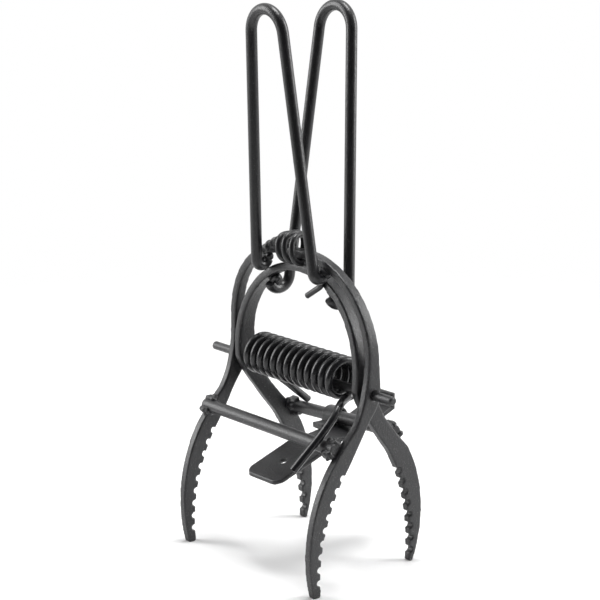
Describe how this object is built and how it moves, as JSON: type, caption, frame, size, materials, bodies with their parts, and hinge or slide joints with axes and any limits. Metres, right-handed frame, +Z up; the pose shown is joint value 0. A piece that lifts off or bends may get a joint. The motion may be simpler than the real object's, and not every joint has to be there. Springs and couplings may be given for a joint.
{
  "type": "scissor mole trap",
  "caption": "Scissor mole trap: two arched strip frames crossed on an axle, toothed claws, a coil spring, a hinged trigger plate and two wire handles.",
  "frame": {"origin": "middle of the outline on the ground, where the claw tips stand", "axes": "+X along the axle, +Y from the front claws to the rear claws, +Z up to the handles"},
  "size_m": [0.1, 0.0652, 0.1974],
  "materials": {
    "black_paint": "satin black paint",
    "spring_paint": "satin black paint on spring wire",
    "weld_paint": "satin black paint over rough weld"
  },
  "bodies": {
    "front_half": {"outer_frame": "black_paint", "front_crossbar": "black_paint", "front_bar_weld_left": "weld_paint", "front_bar_weld_right": "weld_paint", "front_handle": "black_paint", "front_handle_weld_left": "weld_paint", "front_handle_weld_right": "weld_paint", "pivot_axle": "black_paint", "torsion_spring": "spring_paint", "crown_wire": "spring_paint"},
    "rear_half": {"inner_frame": "black_paint", "rear_crossbar": "black_paint", "rear_bar_weld_left": "weld_paint", "rear_bar_weld_right": "weld_paint", "rear_handle": "black_paint", "rear_handle_weld_left": "weld_paint", "rear_handle_weld_right": "weld_paint"},
    "trigger": {"trigger_plate": "black_paint", "trigger_strap": "black_paint"}
  },
  "joints": [
    {"name": "jaw_pivot", "type": "hinge", "parent": "front_half", "child": "rear_half", "pos_m": [0.002, -0.00335, 0.0672], "axis": [-1, 0, 0], "range_deg": [0, 40], "deforming": ["torsion_spring"]},
    {"name": "trigger_swing", "type": "hinge", "parent": "rear_half", "child": "trigger", "pos_m": [0.002, 0.01485, 0.0473], "axis": [0.9954, -0.0596, 0.0751], "range_deg": [0, 55]}
  ]
}
